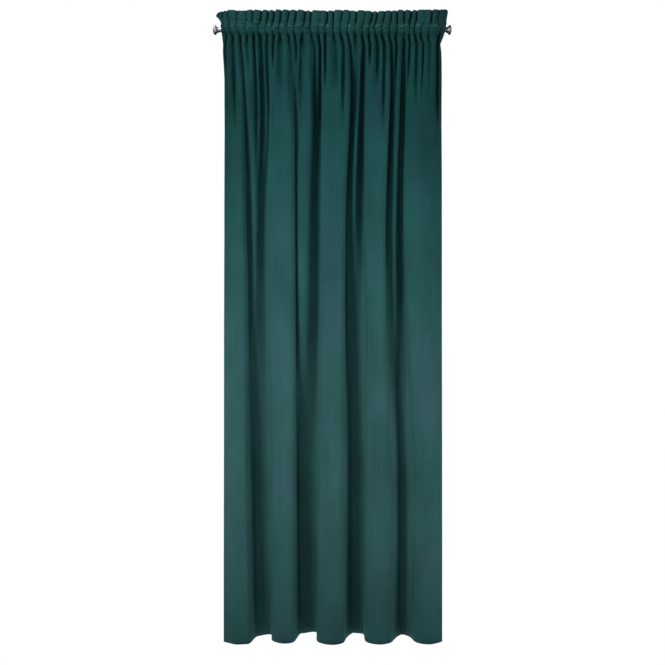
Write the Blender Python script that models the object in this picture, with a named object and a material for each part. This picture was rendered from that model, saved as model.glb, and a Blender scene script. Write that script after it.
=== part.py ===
"""A velvet curtain panel gathered on a plain metal rod with a flared cap at each end.

Metres, +Z up, the front faces -Y. The origin is the middle of the rod's axis.
The panel is one cloth. Its top is turned down behind and sewn through along two seams,
which makes a ruffle above a pocket for the rod. Thirty-one narrow pleats run down from
the ruffle and die out or join, until five broad folds stand forward at the hem.
"""

import math
from collections import namedtuple

import bmesh
import bpy
import numpy as np

# Heights of the cloth, above and below the rod's axis
RUFFLE_TOP = 0.082
RUFFLE_TIP = 0.059
UPPER_SEAM = 0.029
LOWER_SEAM = -0.028
TURNED_EDGE = -0.036
HEM = -2.586

# Sizes of the cloth
CLOTH = 0.002
LEAST_MITRE = 0.5
GATHERS_EVENED = 0.3
RUFFLE_SWELL = 0.003
RUFFLE_SWELL_LENGTH = 0.850
RUFFLE_SWELL_CREST = -0.243

# Sizes of the pleats. A reach is half of a full pleat's depth
RUFFLE_REACH = 0.0085
SEAM_REACH = 0.0065
POCKET_REACH = 0.0060
DROP_REACH = 0.0085
POCKET_SLIP = 0.010
POCKET_GAP = 0.0010
POCKET_FULLNESS = 2.6
PLEATS_GONE = -0.420
VALLEY_SHARPNESS = 1.3

# Sizes of the rod and its end caps
ROD_RADIUS = 0.0095
SEAT_GAP = 0.0003
CAP_END = 0.507
CAP_LENGTH = 0.0245
CAP_SOCKET = 0.0125
CAP_NECK_RADIUS = 0.0108
CAP_CONE_RADIUS = 0.0165
CAP_RIM_RADIUS = 0.0200
CAP_FACE_RADIUS = 0.0160
CAP_RIM_FRONT = 0.0195
CAP_RIM_BACK = 0.0125
CAP_SIDES = 28

# Steps of the meshes
STEPS_A_PLEAT = 3
SECTION_STEPS = 640
DROP_ROWS = (HEM, -2.24, -1.84, -1.44, -1.08, -0.79, -0.56, -0.39, -0.27, -0.18, -0.11, -0.062)
POCKET_ROWS = (-0.68, -0.34, 0.0, 0.34, 0.68)
RUFFLE_ROWS = (0.043, RUFFLE_TIP, 0.073, RUFFLE_TOP)

# The two side edges, in millimetres: a row for each height
Edge = namedtuple("Edge", "height left right")
EDGES = (
    Edge(-2586, -457, 463),
    Edge(-212, -456, 463),
    Edge(-149, -459, 462),
    Edge(-102, -462, 460),
    Edge(-68, -461, 456),
    Edge(-42, -464, 467),
    Edge(-25, -467, 472),
    Edge(-8, -470, 475),
    Edge(8, -472, 480),
    Edge(26, -470, 482),
    Edge(43, -480, 484),
    Edge(59, -492, 486),
    Edge(73, -484, 489),
    Edge(82, -464, 482),
)

# The pleats' valleys, in millimetres: across at the ruffle, across below the pocket,
# share of the full depth, and how far below the rod the valley has gone
Pleat = namedtuple("Pleat", "ruffle drop share gone")
PLEATS = (
    Pleat(-452, -447, 0.6, 170),
    Pleat(-434, -417, 0.9, 320),
    Pleat(-400, -388, 1.0, 150),
    Pleat(-364, -358, 0.9, 150),
    Pleat(-335, -330, 1.0, 400),
    Pleat(-299, -305, 1.0, 420),
    Pleat(-271, -269, 0.9, 560),
    Pleat(-245, -245, 1.0, 125),
    Pleat(-216, -214, 0.7, 210),
    Pleat(-184, -180, 0.9, 300),
    Pleat(-152, -152, 0.9, 110),
    Pleat(-116, -124, 1.0, 300),
    Pleat(-86, -80, 0.6, 260),
    Pleat(-48, -54, 1.0, 320),
    Pleat(-18, -27, 0.9, 190),
    Pleat(8, 10, 0.7, 220),
    Pleat(46, 41, 1.0, 300),
    Pleat(78, 69, 0.9, 150),
    Pleat(103, 103, 0.9, 280),
    Pleat(139, 133, 1.0, 360),
    Pleat(171, 158, 0.8, 120),
    Pleat(194, 188, 0.9, 210),
    Pleat(222, 214, 1.0, 330),
    Pleat(252, 243, 0.9, 160),
    Pleat(277, 269, 1.0, 200),
    Pleat(307, 303, 1.0, 340),
    Pleat(337, 326, 0.9, 230),
    Pleat(360, 350, 1.0, 280),
    Pleat(394, 377, 0.8, 240),
    Pleat(422, 409, 1.0, 300),
    Pleat(450, 446, 0.9, 330),
)

# The folds in millimetres: five stand forward (F) with four behind (B) between them.
# Each has its middle's place across, half its width, and how far back its two shoulders
# and its middle stand. Forward is less than zero, and edge is the same for the side edges
Fold = namedtuple("Fold", "name centre half shoulder middle")
Section = namedtuple("Section", "height edge folds")
BELOW_POCKET = Section(-255, -7, (
    Fold("F1", -413, 23, -17, -12),
    Fold("B1", -339, 34, 24, -10),
    Fold("F2", -218, 38, -16, -20),
    Fold("B2", -103, 57, 20, -13),
    Fold("F3", 20, 34, -16, -21),
    Fold("B3", 108, 25, 22, -6),
    Fold("F4", 194, 32, -16, -20),
    Fold("B4", 274, 22, 24, -10),
    Fold("F5", 373, 42, -15, -18),
))
UPPER_DROP = Section(-722, -15, (
    Fold("F1", -409, 26, -30, -35),
    Fold("B1", -325, 28, 34, -6),
    Fold("F2", -209, 36, -28, -34),
    Fold("B2", -103, 43, 31, -18),
    Fold("F3", 12, 36, -28, -36),
    Fold("B3", 102, 29, 34, 2),
    Fold("F4", 190, 28, -28, -34),
    Fold("B4", 268, 31, 32, -2),
    Fold("F5", 386, 43, -26, -33),
))
MIDDLE_DROP = Section(-1232, -19, (
    Fold("F1", -405, 32, -35, -43),
    Fold("B1", -318, 32, 36, 12),
    Fold("F2", -205, 38, -33, -40),
    Fold("B2", -107, 38, 39, -4),
    Fold("F3", 7, 40, -34, -44),
    Fold("B3", 101, 26, 40, 38),
    Fold("F4", 190, 34, -32, -42),
    Fold("B4", 275, 30, 34, 20),
    Fold("F5", 392, 47, -31, -40),
))
LOWER_DROP = Section(-1785, -23, (
    Fold("F1", -401, 38, -39, -49),
    Fold("B1", -316, 26, 34, 39),
    Fold("F2", -203, 42, -34, -43),
    Fold("B2", -105, 32, 44, 49),
    Fold("F3", 3, 44, -40, -51),
    Fold("B3", 97, 23, 41, 46),
    Fold("F4", 197, 40, -38, -49),
    Fold("B4", 296, 26, 30, 34),
    Fold("F5", 398, 49, -37, -48),
))
AT_HEM = Section(-2586, -26, (
    Fold("F1", -390, 45, -40, -52),
    Fold("B1", -288, 26, 28, 34),
    Fold("F2", -203, 42, -32, -43),
    Fold("B2", -101, 30, 48, 56),
    Fold("F3", -3, 49, -40, -54),
    Fold("B3", 103, 26, 40, 47),
    Fold("F4", 199, 49, -38, -53),
    Fold("B4", 303, 26, 24, 32),
    Fold("F5", 403, 49, -38, -51),
))
SECTIONS = (AT_HEM, LOWER_DROP, MIDDLE_DROP, UPPER_DROP, BELOW_POCKET)


def smooth(low, high, value):
    """0 below low and 1 above high, with an even rise between them."""
    u = np.clip((value - low) / (high - low), 0.0, 1.0)
    return u * u * (3.0 - 2.0 * u)


def spline(knots, values, at):
    """Values read at some places from a smooth curve through the rows of values at the knots."""
    steps = np.diff(knots)
    slopes = np.diff(values, axis=0) / steps[:, None]
    before, after = steps[:-1, None], steps[1:, None]
    inner = (slopes[:-1] * after + slopes[1:] * before) / (before + after)
    tangents = np.vstack([slopes[:1], inner, slopes[-1:]])
    i = np.clip(np.searchsorted(knots, at) - 1, 0, len(steps) - 1)
    step = steps[i][:, None]
    u = (at - knots[i])[:, None] / step
    rise = u * u * (3.0 - 2.0 * u)
    start = u * (1.0 - u) ** 2 * step
    end = u * u * (1.0 - u) * step
    return values[i] * (1.0 - rise) + values[i + 1] * rise + tangents[i] * start - tangents[i + 1] * end


def sides(height):
    """Where the left and the right edge of the cloth stand at a height."""
    heights = [edge.height / 1000 for edge in EDGES]
    left = np.interp(height, heights, [edge.left / 1000 for edge in EDGES])
    right = np.interp(height, heights, [edge.right / 1000 for edge in EDGES])
    return left, right


def fold_points(section):
    """A section's points across and back: a shoulder, a middle and a shoulder for each fold."""
    left, right = sides(section.height / 1000)
    points = [(left, section.edge / 1000)]
    for fold in section.folds:
        points.append(((fold.centre - fold.half) / 1000, fold.shoulder / 1000))
        points.append((fold.centre / 1000, fold.middle / 1000))
        points.append(((fold.centre + fold.half) / 1000, fold.shoulder / 1000))
    points.append((right, section.edge / 1000))
    return np.array(points)


def header_shares():
    """The share of the cloth's width that lies left of each fold point, as gathered on the rod."""
    across = fold_points(BELOW_POCKET)[:, 0]
    return (across - across[0]) / (across[-1] - across[0])


def seam_points():
    """The fold points at the lower seam, where the cloth hangs in one plane."""
    left, right = sides(LOWER_SEAM)
    across = left + header_shares() * (right - left)
    return np.column_stack([across, np.zeros_like(across)])


FOLD_HEIGHTS = np.array([section.height / 1000 for section in SECTIONS] + [LOWER_SEAM])
FOLD_POINTS = np.array([fold_points(section).ravel() for section in SECTIONS] + [seam_points().ravel()])


def main_folds(height, shares):
    """Points (across, back) of the broad folds at a height, for shares of the cloth's width.

    The shares are those of the gathered header, and lower down they even out a little
    along the fold's own length.
    """
    left, right = sides(height)
    if height >= LOWER_SEAM:
        return np.column_stack([left + shares * (right - left), np.zeros_like(shares)])
    points = spline(FOLD_HEIGHTS, FOLD_POINTS, np.array([height]))[0].reshape(-1, 2)
    points[0, 0], points[-1, 0] = left, right
    chords = np.hypot(*np.diff(points, axis=0).T)
    knots = np.concatenate([[0.0], np.cumsum(np.sqrt(chords))])
    at = np.linspace(0.0, knots[-1], SECTION_STEPS)
    run = spline(knots, points, at)
    lengths = np.concatenate([[0.0], np.cumsum(np.hypot(*np.diff(run, axis=0).T))])
    by_length = lengths / lengths[-1]
    by_header = np.interp(at, knots, header_shares())
    settled = GATHERS_EVENED * smooth(0.20, 0.90, -height)
    run_shares = by_header * (1.0 - settled) + by_length * settled
    return np.column_stack([np.interp(shares, run_shares, run[:, i]) for i in (0, 1)])


def pleat_lines(height):
    """The shares of the cloth's width at which the pleats' valleys lie, with both edges."""
    ruffle_left, ruffle_right = sides(RUFFLE_TIP)
    drop_left, drop_right = sides(LOWER_SEAM)
    at_ruffle = (np.array([pleat.ruffle for pleat in PLEATS]) / 1000 - ruffle_left) / (ruffle_right - ruffle_left)
    at_drop = (np.array([pleat.drop for pleat in PLEATS]) / 1000 - drop_left) / (drop_right - drop_left)
    mixed = smooth(-0.045, 0.050, height)
    slip = POCKET_SLIP * math.exp(-(((height - 0.018) / 0.016) ** 2))
    lines = at_ruffle * mixed + at_drop * (1.0 - mixed) - slip / (drop_right - drop_left)
    return np.concatenate([[0.0], lines, [1.0]])


def pleat_reach(height):
    """Half of a full pleat's depth at a height."""
    heights = (PLEATS_GONE, -0.120, -0.050, LOWER_SEAM, 0.0, UPPER_SEAM, RUFFLE_TOP)
    reaches = (0.0, DROP_REACH, DROP_REACH, SEAM_REACH, POCKET_REACH, SEAM_REACH, RUFFLE_REACH)
    return np.interp(height, heights, reaches)


def pleats(height, columns):
    """How far the pleats set the cloth back at a height. A column is a count of valleys from the left edge."""
    nearest = np.rint(columns).astype(int)
    shares = np.array([0.5] + [pleat.share for pleat in PLEATS] + [0.5])
    gone = np.array([100] + [pleat.gone for pleat in PLEATS] + [100]) / 1000
    depth = shares * (1.0 - smooth(gone * 0.35, gone, -height))
    valley = np.cos(math.pi * np.abs(columns - nearest)) ** (2.0 * VALLEY_SHARPNESS)
    groove = 2.0 * max(pleat_reach(height), DROP_REACH * (height < LOWER_SEAM))
    return depth[nearest] * valley * groove - pleat_reach(height)


def pocket_spread(height):
    """How far each layer of the pocket stands from the middle of the two."""
    middle = (UPPER_SEAM + LOWER_SEAM) / 2
    along = (height - middle) / ((UPPER_SEAM - LOWER_SEAM) / 2)
    full = ROD_RADIUS + POCKET_GAP + CLOTH / 2 + POCKET_REACH
    return CLOTH / 2 + (full - CLOTH / 2) * max(0.0, 1.0 - abs(along) ** POCKET_FULLNESS)


def ruffle_lift(height, across):
    """How much higher the ruffle stands along its slow swell."""
    part = smooth(UPPER_SEAM, RUFFLE_TOP, height)
    return part * RUFFLE_SWELL * np.cos(2.0 * math.pi * (across - RUFFLE_SWELL_CREST) / RUFFLE_SWELL_LENGTH)


def cloth_line(height, columns):
    """The middle of the cloth at a height: points across and back, with each one's normal to the front.

    A normal is longer where the line bends, so that the cloth is as thick on both sides of the bend.
    """
    shares = np.interp(columns, np.arange(len(PLEATS) + 2), pleat_lines(height))
    line = main_folds(height, shares)
    line[:, 1] += pleats(height, columns)
    steps = np.diff(line, axis=0)
    steps /= np.linalg.norm(steps, axis=1)[:, None]
    after = np.vstack([steps, steps[-1:]])
    run = np.vstack([steps[:1], steps]) + after
    run /= np.linalg.norm(run, axis=1)[:, None]
    mitre = np.maximum((run * after).sum(axis=1), LEAST_MITRE)
    return line, np.column_stack([run[:, 1], -run[:, 0]]) / mitre[:, None]


def cloth_row(height, columns, back, off):
    """A row of points at a height: the cloth's line moved back, then off its middle to the front."""
    line, normals = cloth_line(height, columns)
    points = line + normals * off
    points[:, 1] += back
    lift = ruffle_lift(height, line[:, 0])
    return [(x, y, height + z) for (x, y), z in zip(points, lift)]


def add_rows(mesh, heights, columns, back_of, off_of):
    """A grid of vertices, a row for each height."""
    rows = []
    for height in heights:
        points = cloth_row(height, columns, back_of(height), off_of(height))
        rows.append([mesh.verts.new(point) for point in points])
    return rows


def add_skin(mesh, rows, facing_front):
    """Faces between neighbouring rows, facing the front or the back.

    Both ways round, a face starts at its lower left corner. All skins then crease along
    the same diagonals, and the cloth keeps its thickness where it twists.
    """
    for low, high in zip(rows, rows[1:]):
        for i in range(len(low) - 1):
            corners = [low[i], low[i + 1], high[i + 1], high[i]]
            mesh.faces.new(corners if facing_front else corners[:1] + corners[:0:-1])


def add_side(mesh, front, back, facing_left):
    """A strip of faces between two upright runs of vertices. A run's end may hold the other's vertex."""
    for i in range(len(front) - 1):
        corners = [front[i], front[i + 1], back[i + 1], back[i]]
        corners = list(dict.fromkeys(corners))
        mesh.faces.new(corners if facing_left else corners[::-1])


def add_material(thing, name, colour, roughness, metallic):
    material = bpy.data.materials.new(name)
    material.use_nodes = True
    shader = material.node_tree.nodes["Principled BSDF"]
    shader.inputs["Base Color"].default_value = (*colour, 1.0)
    shader.inputs["Roughness"].default_value = roughness
    shader.inputs["Metallic"].default_value = metallic
    thing.data.materials.append(material)


def add_object(name, mesh):
    data = bpy.data.meshes.new(name)
    mesh.to_mesh(data)
    mesh.free()
    thing = bpy.data.objects.new(name, data)
    bpy.context.scene.collection.objects.link(thing)
    return thing


def add_panel():
    """The cloth: single down to the hem, and double where its top is turned down behind."""
    columns = np.arange((len(PLEATS) + 1) * STEPS_A_PLEAT + 1) / STEPS_A_PLEAT
    half = (UPPER_SEAM - LOWER_SEAM) / 2
    pocket = [(UPPER_SEAM + LOWER_SEAM) / 2 + along * half for along in POCKET_ROWS]
    heights = [*DROP_ROWS, TURNED_EDGE, LOWER_SEAM, *pocket, UPPER_SEAM, *RUFFLE_ROWS]
    low, high = heights.index(LOWER_SEAM), heights.index(UPPER_SEAM)

    def spread(height):
        return pocket_spread(height) if height >= LOWER_SEAM else 0.0

    mesh = bmesh.new()
    front = add_rows(mesh, heights, columns, lambda z: -spread(z), lambda z: CLOTH / 2)
    back = add_rows(mesh, heights, columns, spread, lambda z: -CLOTH / 2)
    front_inner = add_rows(mesh, pocket, columns, lambda z: -spread(z), lambda z: -CLOTH / 2)
    back_inner = add_rows(mesh, pocket, columns, spread, lambda z: CLOTH / 2)
    bottom_end, top_end = add_rows(mesh, (LOWER_SEAM, UPPER_SEAM), columns, lambda z: 0.0, lambda z: 0.0)
    front_wall = [bottom_end, *front_inner, top_end]
    back_wall = [bottom_end, *back_inner, top_end]

    add_skin(mesh, front, True)
    add_skin(mesh, back, False)
    add_skin(mesh, front_wall, False)
    add_skin(mesh, back_wall, True)
    add_skin(mesh, [front[-1], back[-1]], True)
    add_skin(mesh, [back[0], front[0]], True)
    for column, facing_left in ((0, True), (-1, False)):
        front_run = [row[column] for row in front]
        back_run = [row[column] for row in back]
        add_side(mesh, front_run[:low], back_run[:low], facing_left)
        add_side(mesh, front_run[high + 1:], back_run[high + 1:], facing_left)
        add_side(mesh, front_run[low:high + 1], [row[column] for row in front_wall], facing_left)
        add_side(mesh, [row[column] for row in back_wall], back_run[low:high + 1], facing_left)
        for seam, beyond in ((low, low - 1), (high, high + 1)):
            end = bottom_end[column] if seam == low else top_end[column]
            corners = [front_run[beyond], front_run[seam], end, back_run[seam], back_run[beyond]]
            mesh.faces.new(corners if (beyond < seam) == facing_left else corners[::-1])
    panel = add_object("curtain_panel", mesh)
    panel.data.shade_smooth()
    add_material(panel, "velvet", (0.020, 0.085, 0.085), 0.95, 0.0)
    return panel


def turned(name, profile, sides_round):
    """A piece turned round the X axis. Its profile is a closed run of (along, radius)."""
    mesh = bmesh.new()
    ends = [mesh.verts.new((along, radius, 0.0)) for along, radius in profile]
    edges = [mesh.edges.new(pair) for pair in zip(ends, ends[1:])]
    bmesh.ops.spin(
        mesh,
        geom=ends + edges,
        cent=(0.0, 0.0, 0.0),
        axis=(1.0, 0.0, 0.0),
        angle=2.0 * math.pi,
        steps=sides_round,
        use_duplicate=False,
    )
    bmesh.ops.remove_doubles(mesh, verts=mesh.verts, dist=1e-6)
    bmesh.ops.recalc_face_normals(mesh, faces=mesh.faces)
    thing = add_object(name, mesh)
    thing.data.shade_smooth()
    thing.data.set_sharp_from_angle(angle=math.radians(35.0))
    return thing


def add_rod():
    half = CAP_END - CAP_LENGTH + CAP_SOCKET - SEAT_GAP
    profile = ((-half, 0.0), (-half, ROD_RADIUS), (half, ROD_RADIUS), (half, 0.0))
    rod = turned("rod", profile, CAP_SIDES)
    add_material(rod, "rod_metal", (0.55, 0.55, 0.56), 0.30, 1.0)


def cap_profile():
    """The cap from its socket's floor round the mouth, the cone and the rim to the domed face."""
    bore = ROD_RADIUS + SEAT_GAP
    profile = [(CAP_SOCKET, 0.0), (CAP_SOCKET, bore), (0.0, bore), (0.0, CAP_NECK_RADIUS)]
    steps = 4
    for i in range(1, steps + 1):
        u = i / steps
        flare = CAP_NECK_RADIUS + (CAP_CONE_RADIUS - CAP_NECK_RADIUS) * u ** 1.6
        profile.append((u * CAP_RIM_BACK, flare))
    profile += [(CAP_RIM_BACK, CAP_RIM_RADIUS), (CAP_RIM_FRONT, CAP_RIM_RADIUS)]
    for i in range(steps + 1):
        turn = i / steps * math.pi / 2
        reach = CAP_LENGTH - CAP_RIM_FRONT
        profile.append((CAP_RIM_FRONT + reach * math.sin(turn), CAP_FACE_RADIUS * math.cos(turn)))
    return profile


def add_cap(name, side):
    """An end cap on the side at +1 or -1, its socket over the rod's end."""
    cap = turned(name, cap_profile(), CAP_SIDES)
    cap.location = (side * (CAP_END - CAP_LENGTH), 0.0, 0.0)
    cap.rotation_euler = (0.0, 0.0, 0.0 if side > 0 else math.pi)
    add_material(cap, name + "_metal", (0.55, 0.55, 0.56), 0.25, 1.0)


def clear_scene():
    for thing in list(bpy.data.objects):
        bpy.data.objects.remove(thing)


clear_scene()
add_panel()
add_rod()
add_cap("finial_left", -1)
add_cap("finial_right", 1)
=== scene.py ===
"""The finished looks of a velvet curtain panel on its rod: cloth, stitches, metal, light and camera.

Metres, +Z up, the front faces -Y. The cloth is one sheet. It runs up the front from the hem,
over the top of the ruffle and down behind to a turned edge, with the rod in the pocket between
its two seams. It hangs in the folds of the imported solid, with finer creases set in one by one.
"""

import math
from collections import namedtuple

import bmesh
import bpy
import numpy as np
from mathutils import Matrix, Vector


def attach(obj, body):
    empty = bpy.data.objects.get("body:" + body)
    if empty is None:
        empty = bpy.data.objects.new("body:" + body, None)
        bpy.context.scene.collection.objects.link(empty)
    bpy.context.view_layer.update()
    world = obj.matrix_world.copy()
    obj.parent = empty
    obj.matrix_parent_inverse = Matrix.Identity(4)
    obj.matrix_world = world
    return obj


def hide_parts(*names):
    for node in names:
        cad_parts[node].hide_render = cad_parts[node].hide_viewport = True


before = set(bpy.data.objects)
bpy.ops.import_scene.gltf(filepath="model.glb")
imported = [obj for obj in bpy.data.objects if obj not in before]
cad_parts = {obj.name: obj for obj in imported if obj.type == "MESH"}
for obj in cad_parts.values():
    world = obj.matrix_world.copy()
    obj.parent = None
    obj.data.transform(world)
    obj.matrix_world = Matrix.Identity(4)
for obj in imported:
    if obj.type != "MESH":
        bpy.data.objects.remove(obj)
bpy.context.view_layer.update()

# Heights of the cloth, above and below the rod's axis
RUFFLE_TOP = 0.078
UPPER_SEAM = 0.029
LOWER_SEAM = -0.028
TURNED_EDGE = -0.036
HEM = -2.586

# The rod, and the gap between it and the middle of the cloth that lies against it
ROD_RADIUS = 0.0095
ROD_GAP = 0.0014

# The cloth: its thickness, its flat size, its hems, and how far a hem stands out behind. The step
# at a hem's edge is spread over a little of the cloth to each side of it
CLOTH = 0.0014
CUT_WIDTH = 1.40
CUT_LENGTH = 2.85
BOTTOM_HEM = 0.055
SIDE_HEM = 0.020
HEM_STEP = 0.0011
BOTTOM_STEP_HALF = 0.004
SIDE_STEP_HALF = 0.002

# The two layers of the turned top: how far each stands from their middle at a seam and at the
# ruffle's top, how far its pleats stand off the rod, and how squarely it goes round it. They
# close over some length below the lower seam, and a roll of some height joins them at the top
SEAM_PINCH = 0.0009
RUFFLE_OPEN = 0.0022
POCKET_GAP = 0.0018
POCKET_FULLNESS = 2.2
LAYERS_CLOSE = 0.030
TOP_ROLL = 0.0020

# The layers' middle stands forward of the rod's axis at the seams and sweeps back to it between
SEAM_FORWARD = 0.008
SEAM_SWEEP = 1.6

# Over these distances below the rod the cloth comes to lie more evenly along the folds, by a part
EVENED_OVER = (0.20, 0.90)
GATHERS_EVENED = 0.3

# The pleats' reaches, each half of a full pleat's depth. In the drop the reach is full between
# two heights, and none is left at a third
RUFFLE_REACH = 0.0110
SEAM_REACH = 0.0085
POCKET_REACH = 0.0052
DROP_REACH = 0.0150
FULL_REACH = (-0.120, -0.050)
PLEATS_GONE = -0.420

# The valleys between the pleats: half the width of a slit in the ruffle and in the pocket, how
# many times wider than in their table they are in the drop, how much of the width lies to the
# left, out of 2, and how square the bottom is. Part of the depth is a softer, wider hollow
SLIT_HALF = 0.0050
POCKET_HALF = 0.0056
DROP_WIDER = 1.45
LEFT_SIDE = 1.55
VALLEY_SQUARE = 4
SOFT_PART = 0.14
SOFT_WIDER = 3.0

# The valleys' depths: the least share in the pocket, the heights over which they change to the
# ruffle's and grow to the drop's reach, where and over what length the shares change to the
# drop's and how unevenly, and the parts of its own length over which a valley fades
POCKET_LEAST = 0.55
TO_RUFFLE = (0.010, UPPER_SEAM + 0.004)
DEEPER_OVER = (LOWER_SEAM + 0.002, -ROD_RADIUS)
V_TOP = -0.006
V_TOP_LENGTH = 0.020
V_TOP_UNEVEN = 0.012
FADE_START = 0.60
FADE_END = 1.7

# The bands between the valleys lean to one side or the other: how far, over what length that
# changes, and between which heights it sets in, from the lower to the upper
BAND_LEAN = 0.0018
LEAN_LENGTH = 0.08
LEAN_OVER = (-0.260, -0.080)

# The ruffle's top: how much higher it stands in a deep valley, and how narrow that tip is
VALLEY_RISE = 0.0045
VALLEY_TIP = 8

# Noise: its lumps each way before it repeats, those from one pleat to the next, half of one, and
# the seeds
LUMPS = 64
PLEAT_LUMPS = 1.7
HALF_LUMP = 0.5
V_TOP_SEED = 3
LEAN_SEED = 17
LIP_SEED = 23

# Small unevenness of the cloth: how far it stands out, the width and height of a lump, and a seed
Unevenness = namedtuple("Unevenness", "out wide tall seed")
SLOW = Unevenness(0.0028, 0.075, 0.300, 5)
FINE = Unevenness(0.0010, 0.024, 0.110, 7)
PUCKERS = Unevenness(0.0026, 0.0075, 0.0065, 11)

# The drop's unevenness sets in over the first distances from the rod, and gets less, by a part,
# over the second ones. The pocket's puckers end over the last
SLACK_STARTS = (0.060, 0.300)
SLACK_LESS = (2.30, 2.58)
LESS_AT_HEM = 0.6
PUCKERS_END = (0.030, 0.052)

# The cloth puffs out in short lengths under the upper seam: how far, how much there is of it
# beside the noise, and a puff's length, its height and half of its width
LIP = 0.0028
LIP_EVEN = 0.35
LIP_LENGTH = 0.013
LIP_HEIGHT = 0.0205
LIP_HALF = 0.0042

# The stitches, whose middle stands out of the cloth and whose thinner ends sink in. A row stops
# a little before the cloth's edge, and on a side hem it lies a little inside the hem's edge
THREAD_RADIUS = 0.00026
THREAD_TAPER = 0.4
STITCH_PITCH = 0.0036
STITCH_LENGTH = 0.0030
STITCH_RISE = 0.0002
STITCH_SINK = 0.0007
STITCH_RINGS = 4
STITCH_SIDES = 5
ROW_STOPS = 0.003
HEM_STITCHED = 0.003

# Steps of the cloth's mesh: points in a section, how much closer the columns stand beside the
# broad folds' edges, how near to them, over what distances below the rod that sets in, the
# columns in a pleat, and the rows between heights
SECTION_STEPS = 2400
CROWD = 4.0
CROWD_WIDTH = 0.012
CROWD_OVER = (0.10, 0.40)
PLEAT_COLUMNS = (0.0, 0.06, 0.14, 0.26, 0.42, 0.58, 0.74, 0.86, 0.94)
HEM_EDGE = HEM + BOTTOM_HEM
Rows = namedtuple("Rows", "low high count")
FRONT_ROWS = (
    Rows(HEM, HEM_EDGE - BOTTOM_STEP_HALF, 2),
    Rows(HEM_EDGE - BOTTOM_STEP_HALF, HEM_EDGE + BOTTOM_STEP_HALF, 2),
    Rows(HEM_EDGE + BOTTOM_STEP_HALF, PLEATS_GONE, 46),
    Rows(PLEATS_GONE, FULL_REACH[0], 24),
    Rows(FULL_REACH[0], LOWER_SEAM, 26),
    Rows(LOWER_SEAM, UPPER_SEAM, 26),
    Rows(UPPER_SEAM, RUFFLE_TOP - TOP_ROLL, 18),
)
BACK_ROWS = (
    Rows(RUFFLE_TOP - TOP_ROLL, UPPER_SEAM, 8),
    Rows(UPPER_SEAM, LOWER_SEAM, 12),
    Rows(LOWER_SEAM, TURNED_EDGE, 2),
)
ROLL_STEPS = 4

# The two side edges, written in millimetres: a row for each height
Edge = namedtuple("Edge", "height left right")
EDGES = Edge(*np.array((
    (-2586, -457, 463),
    (-212, -456, 463),
    (-149, -459, 462),
    (-102, -462, 460),
    (-68, -461, 456),
    (-42, -464, 467),
    (-25, -467, 472),
    (-8, -470, 475),
    (8, -472, 480),
    (26, -470, 482),
    (43, -480, 484),
    (54, -492, 486),
    (69, -484, 489),
    (78, -464, 482),
)).T / 1000)

# The pleats' valleys, in millimetres: across at the ruffle's tip, the upper seam, the rod, the
# lower seam and below it, their share of the full depth in the ruffle, in the pocket (from the
# least share up) and below it, half the width below it, how far down the valley goes, and how
# much higher the ruffle stands between this valley and the next
Pleat = namedtuple("Pleat", "tip seam rod gather drop top pocket share half gone rise")
PLEATS = Pleat(*np.array((
    (-459, -462, -454, -444, -445, 0.4, 0.4, 0.5, 4, 170, -2),
    (-443, -432, -432, -418, -411, 0.6, 0.5, 0.8, 6, 320, 0),
    (-399, -401, -401, -387, -385, 0.6, 0.5, 0.9, 4, 150, -4),
    (-360, -360, -367, -357, -354, 0.4, 0.0, 0.8, 7, 150, 2),
    (-330, -335, -335, -328, -327, 0.8, 0.1, 1.0, 4, 400, 0),
    (-294, -301, -309, -302, -301, 0.9, 0.3, 1.0, 5, 420, 1),
    (-265, -273, -278, -272, -270, 0.9, 0.7, 0.8, 8, 560, 0),
    (-240, -247, -253, -243, -248, 1.0, 0.6, 0.9, 4, 125, 2),
    (-209, -218, -225, -217, -214, 0.9, 0.7, 1.0, 10, 210, 1),
    (-175, -187, -189, -182, -177, 0.8, 0.4, 0.8, 7, 300, 1),
    (-146, -155, -159, -154, -151, 0.9, 0.9, 0.8, 4, 110, 0),
    (-109, -115, -120, -122, -121, 0.9, 0.1, 1.0, 9, 300, -3),
    (-84, -89, -89, -84, -78, 1.0, 0.8, 0.7, 7, 260, -2),
    (-46, -48, -54, -54, -50, 0.3, 0.1, 1.0, 4, 320, -2),
    (-17, -19, -27, -24, -26, 1.0, 0.7, 0.9, 5, 190, -2),
    (10, 7, 6, 11, 17, 0.9, 0.9, 0.7, 8, 220, 0),
    (49, 40, 36, 41, 46, 0.7, 0.8, 1.0, 6, 300, 0),
    (80, 75, 65, 70, 74, 0.6, 0.6, 0.9, 6, 150, -3),
    (108, 103, 97, 101, 102, 1.0, 0.1, 0.7, 8, 280, -2),
    (145, 139, 129, 132, 135, 0.4, 0.4, 1.0, 6, 360, -4),
    (175, 167, 158, 160, 159, 1.0, 0.9, 1.0, 4, 120, -5),
    (197, 188, 181, 190, 191, 0.9, 0.7, 1.0, 7, 210, -4),
    (227, 218, 211, 215, 218, 0.7, 0.3, 1.0, 6, 330, -2),
    (256, 251, 247, 245, 245, 0.8, 0.6, 0.8, 5, 160, -1),
    (279, 279, 279, 273, 268, 1.0, 0.9, 1.0, 4, 200, 1),
    (310, 308, 307, 307, 299, 1.0, 0.0, 0.9, 8, 340, -1),
    (342, 333, 330, 329, 324, 1.0, 0.1, 0.8, 4, 230, 1),
    (364, 358, 350, 355, 355, 0.9, 0.8, 0.9, 8, 280, 1),
    (395, 391, 380, 379, 379, 0.3, 0.2, 0.7, 4, 240, 2),
    (427, 421, 415, 409, 407, 0.9, 0.0, 0.5, 8, 300, 2),
    (457, 452, 462, 455, 445, 0.5, 0.1, 0.9, 5, 330, 1),
)).T)
PLEAT_COUNT = len(PLEATS.tip)

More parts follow.
